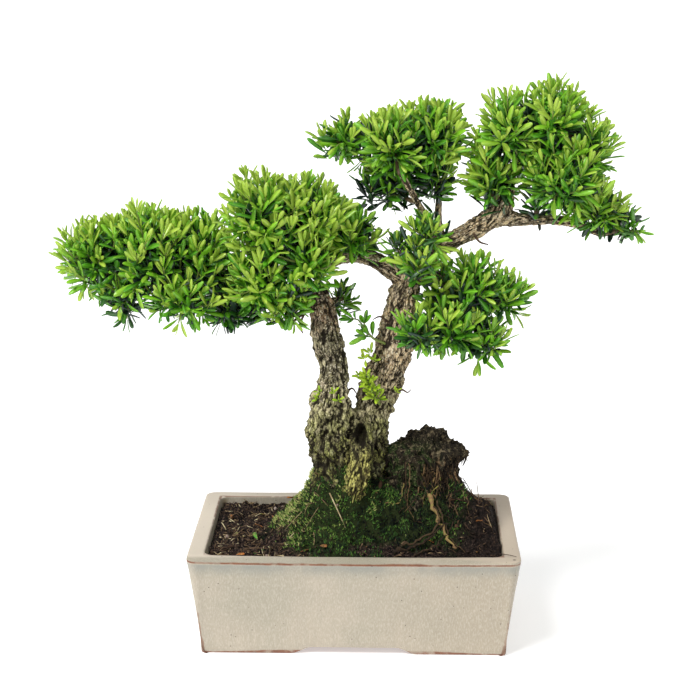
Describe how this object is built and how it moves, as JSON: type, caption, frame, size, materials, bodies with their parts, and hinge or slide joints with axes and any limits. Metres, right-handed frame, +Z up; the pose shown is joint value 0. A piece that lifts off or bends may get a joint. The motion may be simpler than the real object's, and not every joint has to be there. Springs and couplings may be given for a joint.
{
  "type": "harland boxwood bonsai",
  "caption": "Clipped boxwood bonsai with fused trunks, layered leaf heads and a dead stump, planted in a glazed rectangular pot.",
  "frame": {"origin": "middle of the bounding box's bottom: on the surface that the pot stands on, under the middle of the tree's spread, about 3.6 mm from the middle of the pot", "axes": "+X along the pot's long side, towards the stump and the high head; +Y from the front, where the bare trunks show best, to the back; +Z up"},
  "size_m": [0.492, 0.19, 0.4656],
  "materials": {
    "pot_glaze": "satin",
    "drain_mesh": "matte",
    "bark": "matte",
    "dead_wood": "matte",
    "soil": "matte",
    "leaf": "satin",
    "young_leaf": "satin"
  },
  "bodies": {
    "root": {"pot": "pot_glaze", "drain_screen_left": "drain_mesh", "drain_screen_right": "drain_mesh", "trunk": "bark", "old_stump": "dead_wood", "soil": "soil", "foliage_left": "leaf", "foliage_left_middle": "leaf", "foliage_top_middle": "leaf", "foliage_top_right": "leaf", "foliage_low_right": "leaf", "foliage_front": "leaf", "foliage_inner": "leaf", "sprig_upper": "leaf", "sprig_lower": "young_leaf"}
  },
  "joints": []
}
